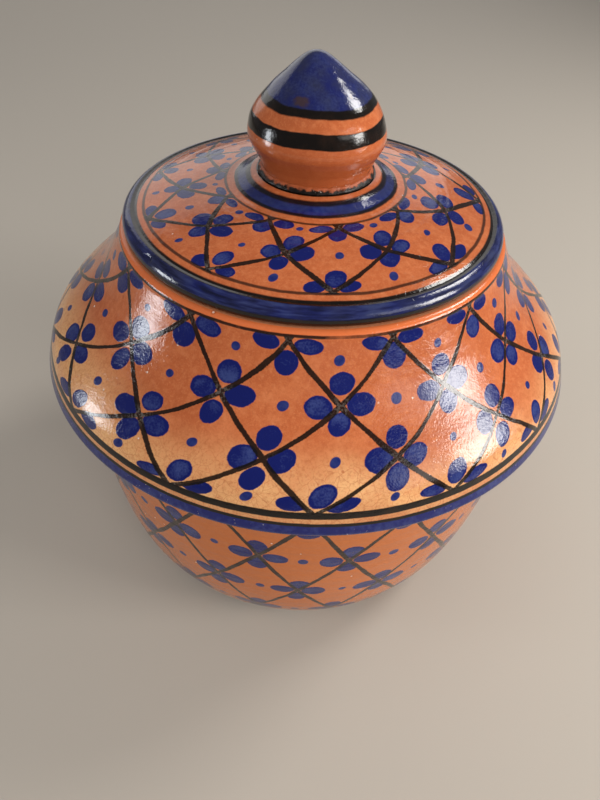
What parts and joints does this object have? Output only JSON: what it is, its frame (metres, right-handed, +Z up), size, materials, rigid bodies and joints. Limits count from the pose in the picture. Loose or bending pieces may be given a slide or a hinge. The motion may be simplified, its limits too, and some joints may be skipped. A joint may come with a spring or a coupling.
{
  "type": "lidded pot",
  "caption": "Round-bellied painted earthenware pot with a projecting rim, sloping shoulder and a lift-off domed lid with a pointed knob.",
  "frame": {"origin": "centre of the foot, on the surface the pot stands on", "axes": "+Z up along the pot's axis; -Y is the side that faces the viewer"},
  "size_m": [0.263, 0.263, 0.2706],
  "materials": {
    "pot_glaze": "glossy clear glaze over painted terracotta",
    "lid_glaze": "glossy clear glaze over painted terracotta",
    "knob_glaze": "glossy clear glaze over painted terracotta"
  },
  "bodies": {
    "pot": {"pot_body": "pot_glaze"},
    "cover": {"lid": "lid_glaze", "lid_knob": "knob_glaze"}
  },
  "joints": [
    {"name": "lid_lift", "type": "slide", "parent": "pot", "child": "cover", "axis": [0, 0, 1], "range_m": [0, 0.1]}
  ]
}
